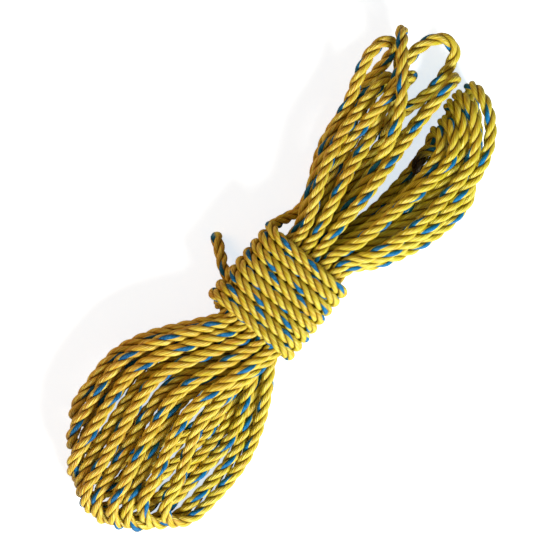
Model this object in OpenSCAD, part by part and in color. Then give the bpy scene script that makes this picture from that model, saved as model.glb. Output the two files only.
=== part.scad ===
// Hank of three-strand utility rope, tied round its waist by its own tail.
// Millimetres. +X runs along the hank, +Z is up, and the hank lies on z = 0.

/* [Rope] */
// Diameter of the rope
rope_d = 8; // [7:0.25:8.25]
// Clear space between two runs that lie side by side
run_gap = 0.6; // [0.5:0.05:0.8]
// Depth of the flat that the rope is pressed to where it lies on the floor
floor_flat = 0.8; // [0.4:0.1:1.2]

/* [Hank] */
// Number of loops in the hank
loops = 11; // [9:1:11]
// Height of the top runs over the bottom runs in the lobes
lobe_rise = 32; // [30:1:38]
// Half the length over which the runs are held together
waist_half = 40; // [38:0.5:44]
// Distance from the waist at which the lobes reach their full width
spread_x = 128; // [115:1:140]
// Side step between neighbours in one row at the waist
waist_step = 9.5; // [9.4:0.1:9.7]
// Length of each end turn, from its runs to its tip
bight_l = 24; // [21:1:28]

/* [Left lobe] */
// Side place of the middle top run
left_top_mid = 19; // [14:1:22]
// Side step from one top run to the next
left_top_step = 9.3; // [9.2:0.1:9.8]
// Side place of the middle bottom run
left_low_mid = 3; // [2:0.5:8]
// Side step from one bottom run to the next
left_low_step = 9.8; // [9.6:0.1:10.2]
// Side place of the wide loop that lies apart from the others
wide_loop_y = -58; // [-60:1:-57]
// Reach of the longest end turn
left_reach = 213; // [205:1:220]
// Loop that reaches furthest, counted from the wide loop
left_crown = 4.5; // [4:0.5:6]
// How quickly the reach falls off to either side of it
left_fall = 1.4; // [1.2:0.05:1.5]

/* [Right lobe] */
// Side place of the first top run
right_top_y = -59; // [-60:0.5:-58]
// Side place of the last top run
right_top_end_y = 47; // [46:0.5:49]
// Side step between top runs
right_top_step = 9.2; // [9.1:0.1:9.4]
// Side place of the first bottom run
right_low_y = -60; // [-61:0.5:-59]
// Side place of the last bottom run, which leads to the winding
right_low_end_y = 49; // [48:0.5:50]
// Side step between bottom runs
right_low_step = 9.3; // [9.25:0.05:9.35]
// Place from which the near runs swing round towards the middle
swing_x = 140; // [138:1:143]
// Side place of the middle of their arcs
swing_y = 6; // [5:0.5:7]
// Side place of the tips of their end turns
near_tip_y = -8.5; // [-10:0.5:-8.5]
// How much less of its arc each of the two inner ones follows, in degrees
near_fall = 10; // [8:1:12]
// Reach of the longest end turn on the far side
far_reach = 196; // [190:1:200]
// Change of reach from one end turn to the next
reach_step = 5; // [3:0.5:6]
// Reach of the loop that stands out of the lobe
open_reach = 213; // [208:1:216]
// Which far loop stands out, counted from the split
open_loop = 2; // [1:1:3]

/* [Winding] */
// Number of turns round the waist
turns = 8; // [7:1:8]
// Place of the first turn on the far side
wind_start_x = 34.5; // [32:0.5:35]
// How far a turn leans towards the left on its way over the top
turn_lean = 2.2; // [2:0.1:2.6]
// Step from one turn to the next
wind_pitch = 9.15; // [9.1:0.05:9.25]
// Squareness of the section that the turns follow, 2 is an ellipse
wind_square = 3.8; // [3.6:0.1:4.2]
// Half the extra room between the two turns that the tail comes out of
tail_room = 5.2; // [5:0.1:5.6]

/* [Sealed ends] */
// Length of the melted cap on each end of the rope
seal_l = 5; // [4:0.5:7]

/* [Hidden] */
// Number of top runs on the near side of the split
near_runs = 5;
// Turn after which the tail comes out, on the far side
tail_turn = 5;
// Slack that the rows and the winding keep, because rings are joined by straight facets
row_ease = 0.5;
wind_ease = 1;
// How much further apart slanted runs ride, and how much closer they lie side by side
slant_ride = 0.1;
slant_close = 0.1;
r = rope_d / 2;
pitch = rope_d + run_gap;
row_h = sqrt(pitch * pitch - waist_step * waist_step / 4) + row_ease;
mid = (loops - 1) / 2;
floor_z = r - floor_flat;
row_z = floor_z + pitch + wind_ease;
top_row_z = row_z + row_h + pitch;
wind_z = (row_z + top_row_z + row_h) / 2;
wind_b = wind_z - floor_z;
near_a = mid * waist_step / 2 + pitch + wind_ease;
groove_y = mid * waist_step / 2 + pitch * sqrt(3) / 2 + row_ease;
far_a = groove_y + pitch + wind_ease;
sides = 6;
// Length over which the runs settle from the waist to the height of the lobes
settle_l = 60;
bight_angles = [0 : 45 : 180];
// Angles of the rings on the arcs of the near runs, and the least stretch from one to the end turn
swing_angles = [0, 18, 36];
swing_room = 6;
run_xs = [112, 70, 41, -41, -70, -112];
turn_step = 15;

// Hand-laid stretches, as points along the rope
inner_points = [
    [124, -13, 19], [133, -13.4, 19], [140, -17.5, 19], [144.6, -25, 18.8], [146, -33, 18.4],
    [145.2, -41, 17.2], [143, -48.4, 14.8], [139, -54.8, 11.6], [133, -58.8, 9]
];
lead_points = [
    [100, 47, 3.2], [86, 44.6, 3.2], [73, 42, 3.4], [61, 41.5, 4.4],
    [51, 41.5, 6], [44.6, 41.4, 8.8]
];
tail_points = [
    [-44.6, 39.8, 24.6], [-45, 38.4, 27], [-43.6, 35.8, 27.6], [-39, 33.4, 27], [-33, 32.4, 25.6],
    [-26, 32.3, 24.8], [-20.4, 33.5, 23.6], [-16.4, 37.5, 20.8], [-14.8, 43, 17], [-13.1, 49, 12.8],
    [-10.2, 55, 8.6], [-6.6, 60.6, 5.2]
];

// ---- helpers ----
function mix(a, b, t) = a + (b - a) * t;
function clamp(u) = min(1, max(0, u));
function smooth(u) = clamp(u) * clamp(u) * (3 - 2 * clamp(u));
function unit(v) = v / norm(v);
function odd(k) = k % 2 == 1;
function last(v) = v[len(v) - 1];
function power(c, e) = sign(c) * pow(abs(c), e);

// ---- runs of the hank ----
// How far the runs have spread at x, from 0 at the waist to 1 in the lobe
function fan(x) = pow(sin(90 * clamp((abs(x) - waist_half) / (spread_x - waist_half))), 1.2);

function right_top(k) = k < near_runs
    ? right_top_y + right_top_step * k
    : right_top_end_y - right_top_step * (loops - 1 - k);
function right_low(k) = k <= near_runs
    ? right_low_y + right_low_step * k
    : right_low_end_y - right_low_step * (loops - k);
function left_top(k) = left_top_mid + left_top_step * (k - mid);
function left_low(k) = k == 0 ? wide_loop_y : left_low_mid + left_low_step * (k - mid);

function lobe_y(k, x, top) = x < 0
    ? (top ? left_top(k) : left_low(k))
    : (top ? right_top(k) : right_low(k));
function lobe_step(x, top) = x < 0
    ? (top ? left_top_step : left_low_step)
    : (top ? right_top_step : right_low_step);

// Neighbours ride over each other where they lie closer than one pitch
function slant(x) = sin(180 * clamp((abs(x) - waist_half) / (spread_x - waist_half)));
function stagger(x, top) = let (
    apart = (pitch + row_ease) * (1 + slant_ride * slant(x)),
    beside = mix(waist_step / 2, lobe_step(x, top), fan(x)) * (1 - slant_close * slant(x))
) sqrt(max(0, apart * apart - beside * beside));
function base_z(x, top) = let (f = smooth((abs(x) - waist_half) / settle_l)) top
    ? mix(top_row_z, floor_z + lobe_rise, f)
    : mix(row_z, floor_z, f);
function run_point(k, x, top) = [
    x,
    mix((k - mid) * waist_step / 2, lobe_y(k, x, top), fan(x)),
    base_z(x, top) + (odd(k) == top ? stagger(x, top) : 0)
];

// ---- end turns ----
function left_end(k) = left_reach - r - left_fall * pow(k - left_crown, 2);
function right_end(k) = k < near_runs
    ? let (radius = swing_y - (right_top(k) + right_low(k + 1)) / 2)
        swing_x + radius * PI / 180
            * (acos((swing_y - near_tip_y) / radius) - near_fall * max(0, k - near_runs + 3))
    : (k == near_runs + open_loop ? open_reach : far_reach - reach_step * (k - near_runs)) - r;
// The near runs follow arcs about one middle, so they stay as far apart as where they are straight
function swung(p) = p[0] <= swing_x ? p : let (
    radius = swing_y - p[1],
    a = (p[0] - swing_x) / radius * 180 / PI
) [swing_x + radius * sin(a), swing_y - radius * cos(a), p[2]];
function bight(a, b, side) = [
    for (t = bight_angles) [
        mix(a[0], b[0], (1 - cos(t)) / 2) + side * bight_l * sin(t),
        mix(a[1], b[1], (1 - cos(t)) / 2),
        mix(a[2], b[2], (1 - cos(t)) / 2)
    ]
];
function left_bight(k) = let (x = bight_l - left_end(k))
    bight(run_point(k, x, false), run_point(k, x, true), -1);
// Rings on the arc of a near run, at angles that the runs share, up to the start of its end turn
function arc_rings(k, x, top) = let (radius = swing_y - (top ? right_top(k) : right_low(k))) [
    for (a = swing_angles) let (along = swing_x + radius * a * PI / 180)
        if (x - along > swing_room) run_point(k, along, top)
];
function flipped(v) = [for (i = [len(v) - 1 : -1 : 0]) v[i]];
function right_bight(k) = let (
    x = right_end(k) - bight_l,
    turn = bight(run_point(k, x, true), run_point(k + 1, x, false), 1)
) k < near_runs
    ? [for (p = concat(arc_rings(k, x, true), turn, flipped(arc_rings(k + 1, x, false)))) swung(p)]
    : turn;
function low_run(k) = [for (x = run_xs) run_point(k, x, false)];
function top_run(k) = [for (x = run_xs) run_point(k, -x, true)];

// The whole hank, from the inner end to the run that leads to the winding. Where two tubes
// meet, both run straight for at least half a diameter
hank_start = last(inner_points) - [r, 0, 0];
hank_end = lead_points[0] + [r, 0, 0];
hank_route = concat(
    [hank_start, hank_start - [rope_d, 0, 0]],
    [for (k = [0 : loops - 1]) each concat(low_run(k), left_bight(k), top_run(k), right_bight(k))],
    [hank_end + [rope_d, 0, 0], hank_end]
);

// ---- winding ----
function wind_angle_x(t) = let (m = round(t / 360), near = pow(max(0, cos(t + 8)), 3))
    wind_start_x - wind_pitch * t / 360 - turn_lean * (1 - cos(t)) / 2
    + tail_room * near * (m <= tail_turn ? 1 : -1);
function wind_point(t) = [
    wind_angle_x(t),
    (cos(t) > 0 ? far_a : near_a) * power(cos(t), 2 / wind_square),
    wind_z + wind_b * power(sin(t), 2 / wind_square)
];
wind_last = 360 * turns - 2 * turn_step;
wind_start = wind_point(0) - [0, 0, rope_d];
wind_end = wind_point(wind_last) + [-1, 1, rope_d];
wind_route = concat([wind_start], [for (t = [0 : turn_step : wind_last]) wind_point(t)], [wind_end]);

lead_route = concat([hank_end], lead_points, [wind_start - [0, 0, r], wind_start]);
tail_route = concat([wind_end, wind_end + r * unit(wind_end - wind_point(wind_last))], tail_points);
inner_route = concat(inner_points, [hank_start]);

// ---- tubes ----
function tangent(v, i) = unit(v[min(i + 1, len(v) - 1)] - v[max(i - 1, 0)]);
function turned(n, t) = unit(n - (n * t) * t);
// One normal for each ring, carried along the route without twist
function normals(v) = [
    for (i = 0, n = turned([0, 1, 0], tangent(v, 0)); i < len(v);
         i = i + 1, n = turned(n, tangent(v, min(i, len(v) - 1)))) n
];
function tube_points(v, s) = let (ns = normals(v)) [
    for (i = [0 : len(v) - 1], j = [0 : s - 1])
        let (t = tangent(v, i), b = cross(t, ns[i]), a = 360 * (j + 0.5) / s)
        v[i] + r * (cos(a) * ns[i] + sin(a) * b)
];
function tube_faces(count, s) = concat(
    [for (j = [1 : s - 2]) [0, j, j + 1]],
    [for (j = [1 : s - 2]) [(count - 1) * s, (count - 1) * s + j + 1, (count - 1) * s + j]],
    [for (i = [0 : count - 2], j = [0 : s - 1], h = [0, 1])
        let (a = i * s + j, b = i * s + (j + 1) % s)
        h == 0 ? [a, a + s, b] : [b, a + s, b + s]]
);
module tube(v, s) {
    difference() {
        polyhedron(tube_points(v, s), tube_faces(len(v), s), convexity = 10);
        translate([-300, -300, -20]) cube([600, 600, 20]);
    }
}

// ---- least gap of a tube to itself, measured on points along it ----
function segment_gap(p, a, b) = let (ab = b - a, t = clamp((p - a) * ab / (ab * ab))) norm(p - a - t * ab);
function lengths(v) = [for (i = 0, s = 0; i < len(v);
    i = i + 1, s = i < len(v) ? s + norm(v[i] - v[i - 1]) : s) s];
function least_gap(v) = let (s = lengths(v), skip = 5 * rope_d) min([
    for (i = [0 : len(v) - 2], f = [0, 0.25, 0.5, 0.75])
        let (p = mix(v[i], v[i + 1], f), at = mix(s[i], s[i + 1], f))
        min([for (j = [i + 1 : len(v) - 2]) if (s[j] - at > skip) segment_gap(p, v[j], v[j + 1])
            , 1000])
]) - rope_d;
function between_gap(v, w) = min([
    for (i = [0 : len(v) - 2], f = [0, 0.25, 0.5, 0.75]) let (p = mix(v[i], v[i + 1], f))
        min([for (j = [0 : len(w) - 2]) segment_gap(p, w[j], w[j + 1])])
]) - rope_d;

// ---- sealed ends ----
module seal(end, before) {
    t = unit(end - before);
    axis = cross([0, 0, 1], t);
    translate(end) rotate(a = acos(t[2]), v = axis) rotate_extrude($fn = 48) polygon(concat(
        [[0, 0]],
        [for (a = [0 : 15 : 90]) [0.9 * r * pow(cos(a), 0.5), seal_l * sin(a)]]
    ));
}

// ---- centring ----
hull_points = concat(hank_route, wind_route, lead_route, tail_route);
low_x = min([for (p = hull_points) p[0]]) - r;
high_x = max([for (p = hull_points) p[0]]) + r;
low_y = min([for (p = hull_points) p[1]]) - r;
high_y = max([for (p = hull_points) p[1]]) + r;
centre = [(low_x + high_x) / 2, (low_y + high_y) / 2, 0];

// ---- sub-parts ----
module hank_loops() {
    echo("hank least gap", least_gap(hank_route), "length", last(lengths(hank_route)));
    color("gold") translate(-centre) tube(hank_route, sides);
}
module lead_run() {
    echo("lead to hank", between_gap([for (i = [1 : len(lead_route) - 1]) lead_route[i]],
        [for (i = [0 : len(hank_route) - 6]) hank_route[i]]), "length", last(lengths(lead_route)));
    color("gold") translate(-centre) tube(lead_route, 8);
}
module waist_winding() {
    echo("winding least gap", least_gap(wind_route), "length", last(lengths(wind_route)));
    echo("winding to hank", between_gap(wind_route, hank_route));
    color("goldenrod") translate(-centre) tube(wind_route, sides);
}
module tail() {
    echo("tail to hank", between_gap(tail_route, hank_route), "length", last(lengths(tail_route)));
    echo("tail to winding", between_gap([for (i = [3 : len(tail_route) - 1]) tail_route[i]],
        [for (i = [0 : len(wind_route) - 6]) wind_route[i]]));
    color("gold") translate(-centre) tube(tail_route, 8);
}
module inner_end() {
    echo("inner end to hank", between_gap([for (i = [0 : len(inner_route) - 3]) inner_route[i]],
        [for (i = [3 : len(hank_route) - 1]) hank_route[i]]), "length", last(lengths(inner_route)));
    color("gold") translate(-centre) tube(inner_route, 8);
}
module tail_seal() {
    color("steelblue") translate(-centre)
        seal(last(tail_points), tail_points[len(tail_points) - 2]);
}
module inner_seal() {
    color("saddlebrown") translate(-centre) seal(inner_points[0], inner_points[1]);
}

hank_loops();
lead_run();
waist_winding();
tail();
inner_end();
tail_seal();
inner_seal();
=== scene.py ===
import math

import bpy
import numpy as np
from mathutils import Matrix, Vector


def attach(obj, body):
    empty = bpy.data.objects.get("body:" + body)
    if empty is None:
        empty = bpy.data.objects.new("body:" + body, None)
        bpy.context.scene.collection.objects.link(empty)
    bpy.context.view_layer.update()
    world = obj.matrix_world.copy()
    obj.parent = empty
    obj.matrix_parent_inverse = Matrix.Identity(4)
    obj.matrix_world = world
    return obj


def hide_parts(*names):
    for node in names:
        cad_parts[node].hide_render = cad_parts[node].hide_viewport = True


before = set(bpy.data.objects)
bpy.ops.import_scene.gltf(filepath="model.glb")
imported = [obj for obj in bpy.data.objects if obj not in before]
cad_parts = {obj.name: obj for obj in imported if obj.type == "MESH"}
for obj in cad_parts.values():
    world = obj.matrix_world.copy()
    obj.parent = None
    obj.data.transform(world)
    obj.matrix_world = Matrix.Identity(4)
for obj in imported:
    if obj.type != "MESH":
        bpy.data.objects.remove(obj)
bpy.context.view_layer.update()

bl_info = {
    "name": "Rope hank",
    "version": (1, 0, 0),
    "blender": (4, 5, 0),
    "location": "View3D > Sidebar > Rope hank",
    "description": "A hank of three-strand rope, tied round its waist by its own tail",
    "category": "Add Mesh",
}

MM = 0.001
BODY = "root"


# ---------------------------------------------------------------- route
# Sizes of the hank in millimetres
ROPE_D = 8.0
FLOOR_FLAT = 0.8
LOOPS = 11
NEAR_RUNS = 5
LOBE_RISE = 32.0
# The waist: half its length, the step between its runs and the middle of their rows
WAIST_HALF = 40.0
WAIST_STEP = 8.9
WAIST_Y = -2.5
# Past the waist the runs part until here, and come down over this length
SPREAD_X = 128.0
SETTLE_L = 60.0
# On the way, runs that ride on their neighbours keep further off, and lie closer side by side
SLANT_RIDE = 0.1
SLANT_CLOSE = 0.1
# Where a run is given points, except this near to an end turn
RUN_XS = (128, 112, 98, 84, 70, 56, 41, 20, 0, -20, -41, -56, -70, -84, -98, -112, -128)
CLEAR_X = 4
BIGHT_L = 24.0

# Turns round the waist, nearly square in section. They part where the tail comes out, and the
# last one is left unfinished.
TURNS = 8
WIND_START_X = 26.6
TURN_LEAN = -2.4
WIND_PITCH = 8.3
WIND_SQUARE = 3.8
WIND_EASE = 1.0
WIND_DEGREES = 15
UNTURNED = 74
TAIL_ROOM = 2.6
TAIL_TURN = 5
TAIL_SIDE = math.radians(8)
NEAR_A = 33.2
FAR_A = 35.4

# Laid rope bulges where it lies slack, and is pressed slim where it is tied
FULL_SLACK = 1.15
FULL_TIED = 1.07

R = ROPE_D / 2
LYING = R * 1.13
PITCH = ROPE_D + 0.6
ROW_H = math.sqrt(PITCH**2 - WAIST_STEP**2 / 4)
MID = (LOOPS - 1) / 2
FLOOR_Z = R - FLOOR_FLAT
ROW_Z = FLOOR_Z + PITCH + WIND_EASE
TOP_ROW_Z = ROW_Z + ROW_H + PITCH
WIND_Z = (ROW_Z + TOP_ROW_Z + ROW_H) / 2
WIND_B = WIND_Z - LYING
CENTRE = np.array([0.175, 3.25, 0.0])

# Side places of the runs in each lobe, listed from the first loop to the last
LEFT_TOP_Y = (-13, -5, 4, 12, 21, 29.5, 37, 43.5, 50, 57, 64)
LEFT_LOW_Y = (-60, -50, -42.5, -35, -27, -18, -7, 7, 20.5, 29.5, 44)
RIGHT_TOP_Y = (-53, -46.5, -38.5, -30.5, -22.5, -1, 6, 20, 31, 39, 47.5)
RIGHT_LOW_Y = (-60, -49.4, -41, -33, -25, -17, 3.5, 12.5, 21, 30.5, 39.7, 47)
# Usual step between neighbours in a lobe's upper and lower runs
LEFT_STEPS = (7.4, 8.2)
RIGHT_STEPS = (8.4, 8.6)
# The left lobe's runs shift to these side places on the way to their end turns
LEFT_TOP_END_Y = (-36, -19, -11, -3, 11, 19.2, 27.2, 35, 42.5, 50, 57.5)
LEFT_LOW_END_Y = (-57, -47.5, -36.5, -26, -17.5, -9, -0.5, 8.5, 20, 29.5, 44)
SHIFT_X = 100
SHIFT_L = 80
# How far each end turn of the left lobe reaches
LEFT_REACH = (185, 196, 204, 210, 213, 213, 210, 204, 196, 185, 171)
# The near runs of the right lobe swing round from here, about one middle, and fall short one by one
SWING_X = 140.0
SWING_Y = 6.0
SWING_STEP = 11
NEAR_TIP_Y = -8.5
NEAR_FALL = math.radians(4.0)
NEAR_FALL_FROM = 2
# How slowly the runs part from the waist. The near runs of the right lobe part sooner.
FAN = 1.2
NEAR_FAN = 0.75

# Points along the rope: on a curve between two given ones, in the settled line and in the mesh
CURVE_POINTS = 24
SETTLE_STEP = 3.6
RING_STEP = 1.85
# Slack runs lie a little aside of their places
WANDER = 1.2
WANDER_SPAN = 7
WANDER_PAST = 8
LOOSEN_L = 40
# How the rope sinks onto itself: rounds, fall in each, and where the fall fades towards the tips
SETTLE_ROUNDS = 160
SETTLE_PAST = 6
SINK = 0.1
SINK_X = 170
SINK_L = 50
SINK_LEAST = 0.1
# Close pairs are looked for anew every few rounds. Their reach and their least distance along the
# rope are in rope thicknesses.
PAIRS_EVERY = 8
PAIR_REACH = 1.5
PAIR_APART = 3.2
PAIR_BLOCK = 400
# Pushes in a round, the share of an overlap that each undoes, and less for a point in many pairs
PUSHES = 2
PUSH_SHARE = 0.35
PUSH_CROWD = 0.6
SHIFT_ROUNDS = 6
# Room that the rope takes and the share of a shift that is undone, where it is tied and where slack
ROOM = (0.985, 1.045)
HOLD = (0.12, 0.015)
# Tight bends are opened out to about this radius, in so many rounds before and after settling
BEND = 13.0
EASE_FIRST = 80
EASE_LAST = 60

# Stretches given point by point
INNER_POINTS = (
    (128.5, -19, 16.5), (133.5, -15, 18.5), (140, -13.4, 19.5), (146, -15.8, 19.5),
    (149.4, -22.6, 19.4), (150, -31.4, 18.8), (148.8, -40, 17.4), (146, -47.8, 15),
    (141, -54.6, 11.8), (133.5, -58.6, 9), (121, -59.6, 8),
)
FAR_BIGHTS = (
    ((140, -1, 35), (156, -0.5, 36), (170, 0, 37), (182, 0.8, 35), (190.5, 1.6, 29),
     (194, 2.4, 20.5), (191, 3, 12), (182, 3.4, 6), (170, 3.4, 4.2), (150, 3, 4)),
    ((132, 10, 41), (146, 15, 43.5), (160, 23.5, 45), (174, 34.5, 45), (186, 44, 41),
     (194, 50.2, 34), (196.5, 52, 26), (192, 48.8, 19), (183, 42, 15.5), (171.5, 33.5, 14),
     (160, 25, 14), (148, 19, 13.5), (137, 14.5, 10.5), (127, 12.5, 6.5), (117, 12, 4)),
    ((132, 24, 36), (150, 29.5, 35.5), (168, 33.5, 34.5), (184, 35.5, 33), (198, 33, 31),
     (208, 26, 29), (210.5, 17, 26), (205, 10.5, 22), (194, 8, 17.5), (181, 8, 12),
     (167, 11, 7.5), (150, 16.5, 4.5), (135, 20, 4)),
    ((140, 31.5, 36.5), (152, 31.6, 36.3), (163, 31.5, 35), (173.6, 31.2, 30.6), (178.6, 31, 20.2),
     (174.2, 30.8, 10), (164, 30.6, 5.4), (152, 30.5, 4.2), (140, 30.5, 4)),
    ((138, 39.4, 35), (149, 39.5, 33.5), (158, 39.6, 29.5), (163.5, 39.6, 23), (164, 39.7, 15.5),
     (158.5, 39.7, 8.5), (148, 39.7, 4.8), (136, 39.7, 4)),
    ((130, 48.5, 35.5), (145, 53.5, 37.5), (158, 57.5, 38.5), (169, 59.5, 38.5), (178.5, 58, 36),
     (184, 54, 30.5), (184, 49.8, 23.5), (178.5, 47.8, 17.5), (169.5, 47.6, 13), (158, 48, 9),
     (146, 48, 6), (130, 47.3, 4.5)),
)
LEAD_POINTS = (
    (112, 46.6, 4), (100, 44.6, 4), (86, 39.6, 4), (73, 33.2, 4.2), (60, 28.6, 5), (49.5, 28, 7.6),
    (40.5, 31.4, 11.6),
)
TAIL_POINTS = (
    (-37.6, 25, 6.8), (-37.4, 29, 13), (-35.6, 29.6, 20), (-31.4, 28.6, 25.4), (-25.4, 27.6, 26.6),
    (-21.4, 29.4, 24.6), (-19.8, 33, 22), (-18, 38.8, 18.6), (-14, 45.2, 14.4), (-9, 51.6, 10),
    (-4.6, 58.2, 5.8), (-1.6, 61.8, 4.6),
)


def mix(a, b, t):
    return a + (b - a) * t


def clamp(u):
    return min(1.0, max(0.0, u))


def smooth(u):
    return clamp(u) ** 2 * (3 - 2 * clamp(u))


def power(c, e):
    return math.copysign(abs(c) ** e, c)


def spread(x):
    return clamp((abs(x) - WAIST_HALF) / (SPREAD_X - WAIST_HALF))


def fan(x, near=False):
    return math.sin(math.pi / 2 * spread(x)) ** (NEAR_FAN if near else FAN)


def lobe_ys(x, top):
    if x < 0:
        return LEFT_TOP_Y if top else LEFT_LOW_Y
    return RIGHT_TOP_Y if top else RIGHT_LOW_Y


def lobe_step(x, top):
    return (LEFT_STEPS if x < 0 else RIGHT_STEPS)[0 if top else 1]


def lift(x, top):
    """How far a run that rides on its neighbours stands over them."""
    slant = math.sin(math.pi * spread(x))
    apart = PITCH * (1 + SLANT_RIDE * slant)
    beside = mix(WAIST_STEP / 2, lobe_step(x, top), fan(x)) * (1 - SLANT_CLOSE * slant)
    return math.sqrt(max(0, apart**2 - beside**2))


def run_point(k, x, top):
    """Place of run k at x, in the upper or the lower row."""
    rest = smooth((abs(x) - WAIST_HALF) / SETTLE_L)
    if top:
        z = mix(TOP_ROW_Z, FLOOR_Z + LOBE_RISE, rest)
    else:
        z = mix(ROW_Z, LYING, rest)
    if (k % 2 == 1) == top:
        z += lift(x, top)
    aside = lobe_ys(x, top)[k]
    if x < 0:
        end = (LEFT_TOP_END_Y if top else LEFT_LOW_END_Y)[k]
        aside = mix(aside, end, smooth((-x - SHIFT_X) / SHIFT_L))
    near = x > 0 and k <= NEAR_RUNS
    return (x, mix(WAIST_Y + (k - MID) * WAIST_STEP / 2, aside, fan(x, near)), z)


def swung(point):
    """A point of a near run, carried round the swing's middle by what it lies past its start."""
    x, y, z = point
    if x <= SWING_X:
        return point
    radius = SWING_Y - y
    a = (x - SWING_X) / radius
    return (SWING_X + radius * math.sin(a), SWING_Y - radius * math.cos(a), z)


def bight(a, b, side):
    """End turn from a to b, that reaches out to one side."""
    points = []
    for degrees in range(0, 181, 20):
        t = math.radians(degrees)
        u = (1 - math.cos(t)) / 2
        points.append((
            mix(a[0], b[0], u) + side * BIGHT_L * math.sin(t),
            mix(a[1], b[1], u),
            mix(a[2], b[2], u),
        ))
    return points


def near_bight(k):
    """End turn of a near run of the right lobe, with the arcs that lead to it and from it."""
    radius = SWING_Y - (RIGHT_TOP_Y[k] + RIGHT_LOW_Y[k + 1]) / 2
    arc = math.acos((SWING_Y - NEAR_TIP_Y) / radius) - NEAR_FALL * max(0, k - NEAR_FALL_FROM)
    x = SWING_X + radius * arc - BIGHT_L
    xs = np.arange(SWING_X, x - CLEAR_X, SWING_STEP)
    out = [run_point(k, at, True) for at in xs]
    back = [run_point(k + 1, at, False) for at in xs]
    turn = bight(run_point(k, x, True), run_point(k + 1, x, False), 1)
    return [swung(p) for p in out + turn + back[::-1]]


def hank_points():
    """The loops one after another: lower run, left end turn, upper run, right end turn."""
    points = []
    for k in range(LOOPS):
        start = points[-1][0] if points else INNER_POINTS[-1][0]
        points += [run_point(k, x, False) for x in RUN_XS if x < start - CLEAR_X]
        x = BIGHT_L - (LEFT_REACH[k] - R)
        points += bight(run_point(k, x, False), run_point(k, x, True), -1)
        turn = near_bight(k) if k < NEAR_RUNS else list(FAR_BIGHTS[k - NEAR_RUNS])
        points += [run_point(k, x, True) for x in RUN_XS[::-1] if x < turn[0][0] - CLEAR_X] + turn
    return points


def wind_points():
    """The turns round the waist."""
    points = []
    for degrees in range(0, 360 * TURNS - UNTURNED, WIND_DEGREES):
        t = math.radians(degrees)
        near = max(0.0, math.cos(t + TAIL_SIDE)) ** 3
        turn = math.floor(degrees / 360 + 0.5)
        x = WIND_START_X - WIND_PITCH * degrees / 360 - TURN_LEAN * (1 - math.cos(t)) / 2
        x += TAIL_ROOM * near * (1 if turn <= TAIL_TURN else -1)
        a = FAR_A if math.cos(t) > 1e-9 else NEAR_A
        points.append((
            x,
            a * power(math.cos(t), 2 / WIND_SQUARE),
            WIND_Z + WIND_B * power(math.sin(t), 2 / WIND_SQUARE),
        ))
    return points


def sampled(points, step):
    """Points one step apart on a smooth curve through the given ones."""
    p = np.asarray(points, float)
    p = np.vstack([2 * p[0] - p[1], p, 2 * p[-1] - p[-2]])
    knots = np.concatenate([[0], np.cumsum(np.linalg.norm(np.diff(p, axis=0), axis=1) ** 0.5)])
    dense = []
    for i in range(1, len(p) - 2):
        t0, t1, t2, t3 = knots[i - 1 : i + 3]
        t = np.linspace(t1, t2, CURVE_POINTS, endpoint=False)[:, None]
        a1 = (t1 - t) / (t1 - t0) * p[i - 1] + (t - t0) / (t1 - t0) * p[i]
        a2 = (t2 - t) / (t2 - t1) * p[i] + (t - t1) / (t2 - t1) * p[i + 1]
        a3 = (t3 - t) / (t3 - t2) * p[i + 1] + (t - t2) / (t3 - t2) * p[i + 2]
        b1 = (t2 - t) / (t2 - t0) * a1 + (t - t0) / (t2 - t0) * a2
        b2 = (t3 - t) / (t3 - t1) * a2 + (t - t1) / (t3 - t1) * a3
        dense.append((t2 - t) / (t2 - t1) * b1 + (t - t1) / (t2 - t1) * b2)
    dense = np.vstack(dense + [p[-2][None]])
    return resampled(dense, step)


def resampled(dense, step):
    """Points one step apart on straight lines through the given ones."""
    s = np.concatenate([[0], np.cumsum(np.linalg.norm(np.diff(dense, axis=0), axis=1))])
    count = max(2, int(round(s[-1] / step)) + 1)
    at = np.linspace(0, s[-1], count)
    return np.stack([np.interp(at, s, dense[:, i]) for i in range(3)], axis=1)


def looseness(points, past):
    """0 until so far past the waist, and 1 out in the lobes."""
    return np.clip((np.abs(points[:, 0]) - WAIST_HALF - past) / LOOSEN_L, 0, 1)


def wandered(points):
    """The same points, drawn a little aside in the lobes, as slack rope lies."""
    draw = np.random.default_rng(11).normal(size=(len(points), 3))
    reach = 3 * WANDER_SPAN
    kernel = np.exp(-0.5 * (np.arange(-reach, reach + 1) / WANDER_SPAN) ** 2)
    aside = np.stack([np.convolve(draw[:, i], kernel, mode="same") for i in range(3)], axis=1)
    aside *= WANDER / aside.std(axis=0) * np.array([1.0, 1.0, 0.5])
    return points + aside * looseness(points, WANDER_PAST)[:, None]


def close_pairs(p, reach, skip):
    """Pairs of points nearer than reach, which aren't near each other along the rope."""
    n = len(p)
    firsts, seconds = [], []
    for start in range(0, n, PAIR_BLOCK):
        block = p[start : start + PAIR_BLOCK]
        rest = p[start:]
        d2 = ((block[:, None, :] - rest[None, :, :]) ** 2).sum(axis=2)
        i, j = np.nonzero(d2 < reach**2)
        keep = j - i >= skip
        firsts.append(i[keep] + start)
        seconds.append(j[keep] + start)
    return np.concatenate(firsts), np.concatenate(seconds)


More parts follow.
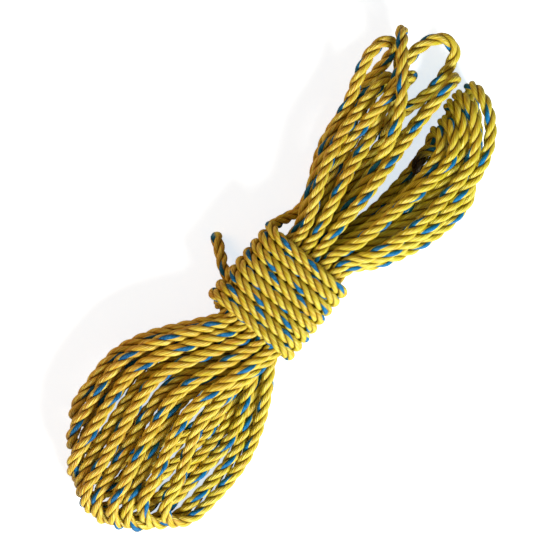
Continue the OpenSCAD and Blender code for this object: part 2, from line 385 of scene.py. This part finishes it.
def settled(points):
    """Lets the rope sink onto the floor and onto itself, with no run inside another."""
    rest = points.copy()
    p = points.copy()
    n = len(p)
    skip = int(PAIR_APART * ROPE_D / SETTLE_STEP)
    loose = looseness(points, SETTLE_PAST)
    sink = SINK * loose * np.clip((SINK_X - np.abs(points[:, 0])) / SINK_L, SINK_LEAST, 1)
    room = ROPE_D * mix(*ROOM, loose)
    hold = (1 - mix(*HOLD, loose))[:, None]
    hold_up = np.maximum(hold, 1 - HOLD[0] * (1 - loose[:, None]))
    for turn in range(SETTLE_ROUNDS):
        if turn % PAIRS_EVERY == 0:
            i, j = close_pairs(p, PAIR_REACH * ROPE_D, skip)
        p[:, 2] -= sink
        for _ in range(PUSHES):
            gap = p[j] - p[i]
            d = np.linalg.norm(gap, axis=1)
            short = (room[i] + room[j]) / 2 - d
            hit = short > 0
            a, b = i[hit], j[hit]
            push = gap[hit] * (PUSH_SHARE * short[hit] / d[hit])[:, None]
            move = np.zeros_like(p)
            count = np.zeros(n)
            np.add.at(move, a, -push)
            np.add.at(move, b, push)
            np.add.at(count, a, 1)
            np.add.at(count, b, 1)
            p += move / np.maximum(1, PUSH_CROWD * count)[:, None]
            p[:, 2] = np.maximum(p[:, 2], LYING)
        shift = p - rest
        shift[:, :2] *= hold
        shift[:, 2:] *= hold_up
        for _ in range(SHIFT_ROUNDS):
            inner = shift.copy()
            inner[1:-1] = 0.5 * shift[1:-1] + 0.25 * (shift[:-2] + shift[2:])
            shift = inner
        p = rest + shift
        p[:, 2] = np.maximum(p[:, 2], LYING)
    return p


def eased(points, rounds):
    """The same line with its tight bends opened out."""
    p = points.copy()
    most = (2 * SETTLE_STEP) ** 2 / (2 * BEND)
    for _ in range(rounds):
        sag = (p[:-4] + p[4:]) / 2 - p[2:-2]
        size = np.maximum(np.linalg.norm(sag, axis=1), most)
        move = sag * (0.25 * (1 - most / size))[:, None]
        p[2:-2] += move
        p[:-4] -= move / 2
        p[4:] -= move / 2
        p[:, 2] = np.maximum(p[:, 2], LYING)
    return p


_laid = {}


def rope_line():
    """Points and arc lengths along the middle of the whole rope, in metres."""
    if "line" not in _laid:
        points = [
            *INNER_POINTS, *hank_points(), *LEAD_POINTS, *wind_points(), *TAIL_POINTS,
        ]
        coarse = wandered(sampled(points, SETTLE_STEP)) - CENTRE
        coarse[:, 2] = np.maximum(coarse[:, 2], LYING)
        coarse = eased(settled(eased(coarse, EASE_FIRST)), EASE_LAST)
        fine = sampled(coarse, RING_STEP) * MM
        s = np.concatenate([[0], np.cumsum(np.linalg.norm(np.diff(fine, axis=0), axis=1))])
        _laid["line"] = fine, s
    return _laid["line"]


# ---------------------------------------------------------------- strands
# Length of one turn of the strands in millimetres, and turns of their yarns in it
LAY_SLACK = 33.0
LAY_TIED = 25.5
YARN_TURNS = 2.06
YARNS = 9
STRAND_NAMES = ("strand_a", "strand_b", "strand_c")
TRACER_NAME = "tracer_yarn"
# The rope goes from slack to tied over this length, past the waist and past the far side
SLACKEN_L = 14
TIED_PAST = 4
TIED_Y = 36
# Half of a strand's outline about the rope's middle: degrees round it, and share of its thickness
STRAND_OUTLINE = (
    (0, 0.5), (14, 0.488), (28, 0.453), (42, 0.388), (50, 0.338), (56, 0.285), (59.2, 0.22),
)
STRAND_INNER = 0.015
# Share of the yarn pattern's way round that falls on the outline, and not on the hidden inside
OUTER_SHARE = 0.8
# The tracer yarn's own outline: shares of its width, and millimetres proud of the strand
TRACER_ACROSS = (-0.5, -0.44, -0.22, 0, 0.22, 0.44, 0.5, 0.25, -0.25)
TRACER_PROUD = (-0.25, 0.1, 0.14, 0.16, 0.14, 0.1, -0.25, -0.45, -0.45)
SLOPE_STEP = 0.01


def strand_section():
    """Outline of one strand: shares of the way round it, and angle and radius about the rope."""
    degrees = [(-a, r) for a, r in STRAND_OUTLINE[:0:-1]] + list(STRAND_OUTLINE)
    outline = [(math.radians(a), r) for a, r in degrees]
    places = np.array([(r * math.cos(a), r * math.sin(a)) for a, r in outline])
    along = np.concatenate([[0], np.cumsum(np.linalg.norm(np.diff(places, axis=0), axis=1))])
    share = list((1 - OUTER_SHARE) / 2 + OUTER_SHARE * along / along[-1])
    outline.append((math.pi, STRAND_INNER))
    share.append(1.0)
    angle, radius = np.array(outline).T
    return np.array(share), angle, radius * ROPE_D * MM


def slackness(points):
    """0 where the rope is wound or tied, 1 where it lies slack."""
    x, y = points[:, 0] / MM, points[:, 1] / MM
    past = np.maximum(np.abs(x) - WAIST_HALF - TIED_PAST, y - TIED_Y)
    return np.clip(past / SLACKEN_L, 0, 1)


def fullness(points):
    """How thick the rope is at each point, as a share of its nominal thickness."""
    return mix(FULL_TIED, FULL_SLACK, slackness(points))


def lays(points, s):
    """How many times the strands have gone round the rope at each point."""
    lay = mix(LAY_TIED, LAY_SLACK, slackness(points)) * MM
    mean = (lay[1:] + lay[:-1]) / 2
    return np.concatenate([[0], np.cumsum(np.diff(s) / mean)])


def frames(points):
    """Tangents and two normals that don't twist along the rope."""
    tangent = np.gradient(points, axis=0)
    tangent /= np.linalg.norm(tangent, axis=1)[:, None]
    normal = np.empty_like(points)
    n = np.cross(tangent[0], (0.0, 0.0, 1.0))
    normal[0] = n / np.linalg.norm(n)
    for i in range(1, len(points)):
        n = normal[i - 1] - tangent[i] * normal[i - 1].dot(tangent[i])
        normal[i] = n / np.linalg.norm(n)
    return tangent, normal, np.cross(tangent, normal)


def swept_mesh(name, across, u, v):
    """Closed tube from rings of points, with one u to a ring and one v to a point of every ring."""
    rings, sides = across.shape[:2]
    i, j = np.meshgrid(np.arange(rings - 1), np.arange(sides), indexing="ij")
    k = (j + 1) % sides
    here, there = i * sides, (i + 1) * sides
    quads = np.stack([here + j, here + k, there + k, there + j], axis=-1).reshape(-1, 4)
    mesh = bpy.data.meshes.new(name)
    vertices = across.reshape(-1, 3)
    loops = np.concatenate([
        quads.ravel(), np.arange(sides)[::-1], (rings - 1) * sides + np.arange(sides)
    ])
    starts = np.concatenate([
        np.arange(len(quads)) * 4, [len(quads) * 4, len(quads) * 4 + sides]
    ])
    totals = np.concatenate([np.full(len(quads), 4), [sides, sides]])
    mesh.vertices.add(len(vertices))
    mesh.vertices.foreach_set("co", vertices.ravel())
    mesh.loops.add(len(loops))
    mesh.loops.foreach_set("vertex_index", loops.astype(np.int32))
    mesh.polygons.add(len(starts))
    mesh.polygons.foreach_set("loop_start", starts.astype(np.int32))
    mesh.polygons.foreach_set("loop_total", totals.astype(np.int32))
    v_end = np.append(v, v[0] + 1)
    uv = np.empty((len(quads), 4, 2))
    ii, jj = i.ravel(), j.ravel()
    for corner, (di, dj) in enumerate(((0, 0), (0, 1), (1, 1), (1, 0))):
        uv[:, corner, 0] = u[ii + di]
        uv[:, corner, 1] = v_end[jj + dj]
    caps = np.concatenate([
        np.stack([np.full(sides, u[0]), v[::-1]], axis=1),
        np.stack([np.full(sides, u[-1]), v], axis=1),
    ])
    layer = mesh.uv_layers.new(name="Yarn")
    layer.data.foreach_set("uv", np.concatenate([uv.reshape(-1, 2), caps]).ravel())
    mesh.update()
    mesh.validate()
    mesh.shade_smooth()
    piece = bpy.data.objects.new(name, mesh)
    bpy.context.scene.collection.objects.link(piece)
    return piece


def strand(name, which):
    """One of the three strands, laid about the rope's line."""
    points, s = rope_line()
    _, n, b = frames(points)
    share, angle, radius = strand_section()
    laid = lays(points, s)
    theta = 2 * math.pi * (laid + which / 3)[:, None] + angle[None, :]
    rings = points[:, None, :] + (fullness(points)[:, None] * radius)[..., None] * (
        np.cos(theta)[..., None] * n[:, None, :] + np.sin(theta)[..., None] * b[:, None, :]
    )
    return swept_mesh(name, rings, laid, share)


def tracer(name, which, width):
    """The coloured yarn of one strand, a flat band that lies just proud of the strand."""
    points, s = rope_line()
    _, n, b = frames(points)
    share, angle, radius = strand_section()
    x, y = radius * np.cos(angle), radius * np.sin(angle)
    share3 = np.concatenate([share - 1, share, share + 1])
    x3, y3 = np.tile(x, 3), np.tile(y, 3)
    across = np.array(TRACER_ACROSS) * width
    proud = np.array(TRACER_PROUD) * MM
    laid = lays(points, s)
    q = -YARN_TURNS * laid[:, None] + across[None, :]
    q -= np.floor(q.mean(axis=1))[:, None]
    px, py = np.interp(q, share3, x3), np.interp(q, share3, y3)
    ahead, behind = q + SLOPE_STEP, q - SLOPE_STEP
    dx = np.interp(ahead, share3, x3) - np.interp(behind, share3, x3)
    dy = np.interp(ahead, share3, y3) - np.interp(behind, share3, y3)
    length = np.hypot(dx, dy)
    full = fullness(points)[:, None]
    px, py = px * full + proud * dy / length, py * full - proud * dx / length
    turn = 2 * math.pi * (laid + which / 3)
    c, d = np.cos(turn)[:, None], np.sin(turn)[:, None]
    along_n, along_b = px * c - py * d, px * d + py * c
    rings = (
        points[:, None, :] + along_n[..., None] * n[:, None, :] + along_b[..., None] * b[:, None, :]
    )
    return swept_mesh(name, rings, laid, across)


# ---------------------------------------------------------------- materials
# Painted light and shade over the whole rope: the tone goes deeper towards the hank's +y side and
# lighter towards +x, in shares for each metre along and across the hank
PAINTED_SHADE_X = 1.8
PAINTED_SHADE_Y = -7.0
TINT_CONTRAST = 4.0
# Yarn pattern: scales of the fine lines and the broad patches, how fast they change along the
# rope, how far the patches bend the yarns, and depth of the relief in metres
FINE_SCALE = 2.3
FINE_ALONG = 0.4
PATCH_SCALE = 1.6
PATCH_ALONG = 0.5
YARN_BEND = 9.0
STREAK_CONTRAST = 5.2
YARN_CONTRAST = 0.4
STREAK_BIAS = 0.4
YARN_DEPTH = 0.0008
ROUGH_LEAST = 0.3
ROUGH_SPAN = 0.22
SINGED_GRAIN = 900.0
SINGED_PALER = 2.6
FLOOR_COLOUR = (0.9, 0.9, 0.9, 1)
FLOOR_GLOW = (0.765, 0.88, 1, 1)
FLOOR_GLOW_STRENGTH = 0.81


class Signal:
    """A socket's value, which sums and products can be written with."""

    def __init__(self, look, socket):
        self.look, self.socket = look, socket

    def _sum(self, operation, *values):
        return self.look.node("Math", {"operation": operation}, dict(enumerate(values)))

    def __add__(self, other):
        return self._sum("ADD", self, other)

    def __radd__(self, other):
        return self._sum("ADD", other, self)

    def __sub__(self, other):
        return self._sum("SUBTRACT", self, other)

    def __rsub__(self, other):
        return self._sum("SUBTRACT", other, self)

    def __mul__(self, other):
        return self._sum("MULTIPLY", self, other)

    def __rmul__(self, other):
        return self._sum("MULTIPLY", other, self)

    def sin(self):
        return self._sum("SINE", self)

    def cos(self):
        return self._sum("COSINE", self)

    def clamped(self):
        return self.look.node("Clamp", {}, {"Value": self})


class Look:
    """A material and the nodes in it."""

    def __init__(self, name):
        self.material = bpy.data.materials.new(name)
        self.material.use_nodes = True
        self.tree = self.material.node_tree
        self.surface = self.tree.nodes["Principled BSDF"]

    def put(self, target, value):
        if isinstance(value, Signal):
            self.tree.links.new(value.socket, target)
        else:
            target.default_value = value

    def node(self, kind, settings=None, inputs=None, output=0):
        made = self.tree.nodes.new("ShaderNode" + kind)
        for key, value in (settings or {}).items():
            setattr(made, key, value)
        for key, value in (inputs or {}).items():
            self.put(made.inputs[key], value)
        return Signal(self, made.outputs[output])

    def parts(self, vector):
        made = self.tree.nodes.new("ShaderNodeSeparateXYZ")
        self.put(made.inputs[0], vector)
        return [Signal(self, socket) for socket in made.outputs]

    def blend(self, factor, a, b):
        made = self.tree.nodes.new("ShaderNodeMix")
        made.data_type = "RGBA"
        self.put(made.inputs[0], factor)
        self.put(made.inputs[6], a)
        self.put(made.inputs[7], b)
        return Signal(self, made.outputs[2])

    def set(self, **values):
        for key, value in values.items():
            self.put(self.surface.inputs[key.replace("_", " ")], value)


def yarn_look(name, pale, mid, deep, groove_shade, singed, relief, gloss=0.5):
    """Drawn plastic yarns: each strand is a bundle of fine glossy yarns that turn about it."""
    look = Look(name)
    uv = look.node("UVMap", {"uv_map": "Yarn"})
    u, v, _ = look.parts(uv)
    around = v + u * YARN_TURNS
    turn = around * (2 * math.pi)
    c, s = turn.cos(), turn.sin()
    lines = look.node("CombineXYZ", {}, {0: c, 1: s, 2: u * FINE_ALONG})
    fine = look.node("TexNoise", {}, {
        "Vector": lines, "Scale": FINE_SCALE, "Detail": 4.0, "Roughness": 0.65,
    })
    broad = look.node("CombineXYZ", {}, {0: c, 1: s, 2: u * PATCH_ALONG})
    patch = look.node("TexNoise", {}, {"Vector": broad, "Scale": PATCH_SCALE, "Detail": 2.0})
    yarn = (turn * YARNS + patch * YARN_BEND).sin() * 0.5 + 0.5
    x, y, _ = look.parts(look.node("TexCoord", output=3))
    # Random patches of deeper and middle tone, plus painted light and shade: deeper towards the
    # hank's +y side and lighter towards +x
    tint = (patch - 0.5) * TINT_CONTRAST + x * PAINTED_SHADE_X + y * PAINTED_SHADE_Y + 0.5
    colour = look.blend(tint.clamped(), deep, mid)
    streak = (fine - 0.5) * STREAK_CONTRAST + (yarn - 0.5) * YARN_CONTRAST + STREAK_BIAS
    colour = look.blend(streak.clamped(), colour, pale)
    if groove_shade:
        # Painted shade in the grooves between strands: side is 0 on a strand's crest and 2 on the
        # inside, and the groove colour is blended in towards the inside
        side = (v - 0.5) * (v - 0.5) * 8.0
        colour = look.blend((side * 1.2 - 0.48).clamped(), colour, groove_shade)
    # The first half turn of the strands is singed, with a ragged edge
    burnt = (0.6 - u) * 3.0 + (patch - 0.5) * 2.0
    colour = look.blend(burnt.clamped(), colour, singed)
    height = fine * 0.6 + yarn * 0.5
    bump = look.node("Bump", {}, {"Strength": relief, "Distance": YARN_DEPTH, "Height": height})
    look.set(
        Base_Color=colour, Roughness=ROUGH_LEAST + (1 - fine) * ROUGH_SPAN, Normal=bump,
        Specular_IOR_Level=gloss,
    )
    return look.material


def singed_tone(look, singed):
    grain = look.node("TexNoise", {}, {
        "Vector": look.node("TexCoord", output=3), "Scale": SINGED_GRAIN, "Detail": 3.0,
    })
    return look.blend(grain, singed, tuple(SINGED_PALER * c for c in singed[:3]) + (1,))


def floor_look():
    """Pale floor that the camera sees as white, with the shadow left on it."""
    look = Look("floor")
    look.set(Base_Color=FLOOR_COLOUR, Roughness=0.9)
    seen = look.node("LightPath")
    glow = look.node("Emission", {}, {"Color": FLOOR_GLOW, "Strength": seen * FLOOR_GLOW_STRENGTH})
    both = look.node("AddShader", {}, {0: Signal(look, look.surface.outputs[0]), 1: glow})
    look.tree.links.new(both.socket, look.tree.nodes["Material Output"].inputs["Surface"])
    return look.material


# ---------------------------------------------------------------- settings
class RopeHankSizes(bpy.types.PropertyGroup):
    """Sizes of the strands and their tracer yarn."""

    tracer_width: bpy.props.FloatProperty(
        name="Tracer width", description="Share of a strand's way round that the tracer yarn takes",
        default=0.34, min=0.1, max=0.6, subtype="FACTOR",
    )
    streak: bpy.props.FloatProperty(
        name="Yarn relief", description="Strength of the fine lines along the yarns",
        default=0.7, min=0, max=1, subtype="FACTOR",
    )


class RopeHankColours(bpy.types.PropertyGroup):
    """Colours of the rope."""

    pale: bpy.props.FloatVectorProperty(
        name="Yarn, light", description="Lightest tone of the yarns",
        default=(0.84, 0.74, 0.12, 1), size=4, min=0, max=1, subtype="COLOR",
    )
    mid: bpy.props.FloatVectorProperty(
        name="Yarn, middle", description="Middle tone of the yarns",
        default=(0.58, 0.49, 0.002, 1), size=4, min=0, max=1, subtype="COLOR",
    )
    deep: bpy.props.FloatVectorProperty(
        name="Yarn, deep", description="Deepest tone of the yarns",
        default=(0.56, 0.26, 0.006, 1), size=4, min=0, max=1, subtype="COLOR",
    )
    tracer_pale: bpy.props.FloatVectorProperty(
        name="Tracer, light", description="Lighter tone of the tracer yarn",
        default=(0.0, 0.18, 0.48, 1), size=4, min=0, max=1, subtype="COLOR",
    )
    tracer_deep: bpy.props.FloatVectorProperty(
        name="Tracer, deep", description="Deeper tone of the tracer yarn",
        default=(0.0, 0.07, 0.22, 1), size=4, min=0, max=1, subtype="COLOR",
    )
    # Painted shade: the colour blended in towards the grooves between strands
    groove_shade: bpy.props.FloatVectorProperty(
        name="Groove", description="Tone down in the grooves between strands",
        default=(0.2, 0.07, 0.0, 1), size=4, min=0, max=1, subtype="COLOR",
    )
    singed: bpy.props.FloatVectorProperty(
        name="Singed", description="Colour of the singed end",
        default=(0.022, 0.009, 0.004, 1), size=4, min=0, max=1, subtype="COLOR",
    )


class RopeHankEnds(bpy.types.PropertyGroup):
    """Sizes of the two ends of the rope."""

    cap_length: bpy.props.FloatProperty(
        name="Cap length", description="Length of the melted cap past the end of the strands",
        default=0.0032, min=0.001, max=0.006, unit="LENGTH",
    )
    whiskers: bpy.props.IntProperty(
        name="Whiskers", description="Number of loose yarns at the singed end",
        default=16, min=0, max=40,
    )
    whisker_length: bpy.props.FloatProperty(
        name="Whisker length", description="Length of the longest loose yarn",
        default=0.009, min=0.002, max=0.02, unit="LENGTH",
    )


class RopeHankStage(bpy.types.PropertyGroup):
    """Camera and light."""

    camera_height: bpy.props.FloatProperty(
        name="Camera height", description="Height of the camera over the floor",
        default=1.3, min=0.4, max=4, unit="LENGTH",
    )
    frame_width: bpy.props.FloatProperty(
        name="Width in view", description="Width that the camera takes in at the hank's mid height",
        default=0.4, min=0.1, max=2, unit="LENGTH",
    )
    turn: bpy.props.FloatProperty(
        name="Turn", description="Turn of the camera about the vertical",
        default=math.radians(-50), subtype="ANGLE",
    )


def settings(context):
    scene = context.scene
    return (
        scene.rope_hank_sizes, scene.rope_hank_colours, scene.rope_hank_ends, scene.rope_hank_stage,
    )


# ---------------------------------------------------------------- pieces
# Sizes in metres, and shares of the rope's thickness
CAP_WIDE = 0.52
CAP_SUNK = 0.0002
CAP_GRAIN = 0.0022
TAIL_LUMPS = 0.0009
SINGED_LUMPS = 0.0022
WHISKER_R = 0.00024
WHISKER_TIP = 0.35
WHISKER_SIDES = 5
WHISKER_RINGS = 8
TRACER_GLOSS = 0.25


class ROPEHANK_OT_strands(bpy.types.Operator):
    """Lays the three strands of the rope and the tracer yarn"""

    bl_idname = "rope_hank.strands"
    bl_label = "Strands"

    def execute(self, context):
        sizes, colours, _, _ = settings(context)
        yarn = yarn_look(
            "rope_yarn", tuple(colours.pale), tuple(colours.mid), tuple(colours.deep),
            tuple(colours.groove_shade), tuple(colours.singed), sizes.streak,
        )
        strands = [strand(name, which) for which, name in enumerate(STRAND_NAMES)]
        for piece in strands:
            piece.data.materials.append(yarn)
            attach(piece, BODY)
        band = tracer(TRACER_NAME, 0, sizes.tracer_width)
        band.data.materials.append(yarn_look(
            TRACER_NAME, tuple(colours.tracer_pale), tuple(colours.tracer_pale),
            tuple(colours.tracer_deep), None, tuple(colours.singed), sizes.streak, TRACER_GLOSS,
        ))
        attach(band, BODY)
        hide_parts("hank_loops", "lead_run", "waist_winding", "tail", "inner_end")
        return {"FINISHED"}


def end_cap(name, at, out, length, lumps):
    """A drop of melted rope on an end that points out."""
    bpy.ops.object.select_all(action="DESELECT")
    bpy.ops.mesh.primitive_uv_sphere_add(segments=32, ring_count=20, radius=1, location=(0, 0, 0))
    cap = bpy.context.object
    cap.name = cap.data.name = name
    wide = CAP_WIDE * ROPE_D * MM
    cap.scale = (wide, wide, length)
    cap.rotation_euler = Vector(out).to_track_quat("Z", "Y").to_euler()
    cap.location = Vector(at) - Vector(out) * CAP_SUNK
    bpy.ops.object.transform_apply(location=True, rotation=True, scale=True)
    clouds = bpy.data.textures.new(name + "_lumps", "CLOUDS")
    clouds.noise_scale = CAP_GRAIN
    lumpy = cap.modifiers.new("lumps", "DISPLACE")
    lumpy.texture, lumpy.strength, lumpy.mid_level = clouds, lumps, 0.5
    bpy.ops.object.modifier_apply(modifier="lumps")
    bpy.ops.object.shade_smooth()
    return cap


class ROPEHANK_OT_tail_cap(bpy.types.Operator):
    """Seals the tail that stands out of the winding"""

    bl_idname = "rope_hank.tail_cap"
    bl_label = "Tail cap"

    def execute(self, context):
        _, colours, ends, _ = settings(context)
        points, _ = rope_line()
        out = points[-1] - points[-4]
        out /= np.linalg.norm(out)
        cap = end_cap("tail_cap", points[-1], out, ends.cap_length, TAIL_LUMPS)
        look = Look("melted_tail")
        x, y, _ = look.parts(look.node("TexCoord", output=3))
        side = ((points[-1][0] - x) * 500.0 + (y - points[-1][1]) * 300.0 + 0.2).clamped()
        colour = look.blend(side, tuple(colours.pale), tuple(colours.tracer_pale))
        look.set(Base_Color=colour, Roughness=0.3)
        cap.data.materials.append(look.material)
        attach(cap, BODY)
        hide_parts("tail_seal")
        return {"FINISHED"}


def hair(name, line):
    """A loose yarn along a line, thinner towards its tip."""
    _, n, b = frames(line)
    taper = WHISKER_R * np.linspace(1, WHISKER_TIP, len(line))[:, None, None]
    side = np.arange(WHISKER_SIDES)
    a = side * 2 * math.pi / WHISKER_SIDES
    rings = line[:, None, :] + taper * (
        np.cos(a)[None, :, None] * n[:, None, :] + np.sin(a)[None, :, None] * b[:, None, :]
    )
    return swept_mesh(name, rings, np.linspace(0, 1, len(line)), side / WHISKER_SIDES)


class ROPEHANK_OT_singed_end(bpy.types.Operator):
    """Seals the inner end, which is singed, with its loose yarns"""

    bl_idname = "rope_hank.singed_end"
    bl_label = "Singed end"

    def execute(self, context):
        _, colours, ends, _ = settings(context)
        points, _ = rope_line()
        out = points[0] - points[3]
        out /= np.linalg.norm(out)
        cap = end_cap("singed_cap", points[0], out, ends.cap_length, SINGED_LUMPS)
        look = Look("singed")
        look.set(Base_Color=singed_tone(look, tuple(colours.singed)), Roughness=0.5)
        draw = np.random.default_rng(5)
        side = np.cross(out, (0, 0, 1.0))
        side /= np.linalg.norm(side)
        up = np.cross(side, out)
        hairs = []
        for i in range(ends.whiskers):
            turn = draw.uniform(0, 2 * math.pi)
            lean, long = draw.uniform(0.3, 1.3), draw.uniform(0.45, 1)
            radial = math.cos(turn) * side + math.sin(turn) * up
            root = points[0] + radial * R * MM * draw.uniform(0.2, 0.85)
            t = np.linspace(0, 1, WHISKER_RINGS)[:, None]
            bow = draw.uniform(-0.5, 0.5)
            line = root + ends.whisker_length * long * (
                t * (out + lean * radial * t) + bow * t**2 * np.cross(out, radial)
            )
            hairs.append(hair("whisker_%d" % i, line))
        bpy.ops.object.select_all(action="DESELECT")
        for piece in hairs:
            piece.select_set(True)
        context.view_layer.objects.active = hairs[0]
        bpy.ops.object.join()
        whiskers = context.object
        whiskers.name = whiskers.data.name = "singed_whiskers"
        for piece in (cap, whiskers):
            piece.data.materials.append(look.material)
            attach(piece, BODY)
        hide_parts("inner_seal")
        return {"FINISHED"}


def declare_rope():
    """Works out the rope's line, and does nothing else with it."""
    points, s = rope_line()


# ---------------------------------------------------------------- stage
FLOOR_SIZE = 6
AIM = Vector((0.0034, 0.0027, 0.02))
MID_HEIGHT = 0.025
SENSOR_MM = 36
SKY = (1, 0.9, 0.68, 1)
SKY_STRENGTH = 0.17
# Name, place, size, watts and tint
LAMPS = (
    ("key", (-0.35, -1.2, 0.85), 0.5, 35, (1, 1, 0.92)),
    ("fill", (-0.3, 1.2, 0.7), 1.0, 8, (1, 0.55, 0.2)),
)


class ROPEHANK_OT_stage(bpy.types.Operator):
    """Sets the floor, the lamps and the camera"""

    bl_idname = "rope_hank.stage"
    bl_label = "Stage"

    def execute(self, context):
        stage = settings(context)[-1]
        scene = context.scene
        scene.view_settings.view_transform = "Standard"
        bpy.ops.object.select_all(action="DESELECT")
        bpy.ops.mesh.primitive_plane_add(size=FLOOR_SIZE, location=(0, 0, 0))
        floor = context.object
        floor.name = "floor"
        floor.data.materials.append(floor_look())
        world = bpy.data.worlds.new("studio")
        world.use_nodes = True
        sky = world.node_tree.nodes["Background"]
        sky.inputs["Color"].default_value = SKY
        sky.inputs["Strength"].default_value = SKY_STRENGTH
        scene.world = world
        for name, place, size, watts, tint in LAMPS:
            lamp = bpy.data.lights.new(name, "AREA")
            lamp.shape, lamp.size, lamp.energy = "SQUARE", size, watts
            lamp.color = tint
            holder = bpy.data.objects.new(name, lamp)
            holder.location = place
            holder.rotation_euler = (AIM - Vector(place)).to_track_quat("-Z", "Y").to_euler()
            scene.collection.objects.link(holder)
        lens = bpy.data.cameras.new("camera")
        lens.sensor_width = SENSOR_MM
        lens.lens = SENSOR_MM * (stage.camera_height - MID_HEIGHT) / stage.frame_width
        camera = bpy.data.objects.new("camera", lens)
        camera.location = (AIM.x, AIM.y, stage.camera_height)
        camera.rotation_euler = (0, 0, stage.turn)
        scene.collection.objects.link(camera)
        scene.camera = camera
        return {"FINISHED"}


class ROPEHANK_PT_panel(bpy.types.Panel):
    """Shows the hank's settings and the buttons for its steps"""

    bl_label = "Rope hank"
    bl_space_type = "VIEW_3D"
    bl_region_type = "UI"
    bl_category = "Rope hank"

    def draw(self, context):
        for group in settings(context):
            box = self.layout.box()
            for name in group.bl_rna.properties.keys():
                if name not in ("rna_type", "name"):
                    box.prop(group, name)
        for operator in OPERATORS:
            self.layout.operator(operator.bl_idname)


GROUPS = (RopeHankSizes, RopeHankColours, RopeHankEnds, RopeHankStage)
OPERATORS = (ROPEHANK_OT_stage, ROPEHANK_OT_strands, ROPEHANK_OT_tail_cap, ROPEHANK_OT_singed_end)
CLASSES = GROUPS + OPERATORS + (ROPEHANK_PT_panel,)


def register():
    for cls in CLASSES:
        bpy.utils.register_class(cls)
    bpy.types.Scene.rope_hank_sizes = bpy.props.PointerProperty(type=RopeHankSizes)
    bpy.types.Scene.rope_hank_colours = bpy.props.PointerProperty(type=RopeHankColours)
    bpy.types.Scene.rope_hank_ends = bpy.props.PointerProperty(type=RopeHankEnds)
    bpy.types.Scene.rope_hank_stage = bpy.props.PointerProperty(type=RopeHankStage)


def unregister():
    del bpy.types.Scene.rope_hank_stage
    del bpy.types.Scene.rope_hank_ends
    del bpy.types.Scene.rope_hank_colours
    del bpy.types.Scene.rope_hank_sizes
    for cls in reversed(CLASSES):
        bpy.utils.unregister_class(cls)


def main():
    register()
    bpy.ops.rope_hank.stage()
    bpy.ops.rope_hank.strands()
    bpy.ops.rope_hank.tail_cap()
    bpy.ops.rope_hank.singed_end()
    declare_rope()


if __name__ == "__main__":
    main()
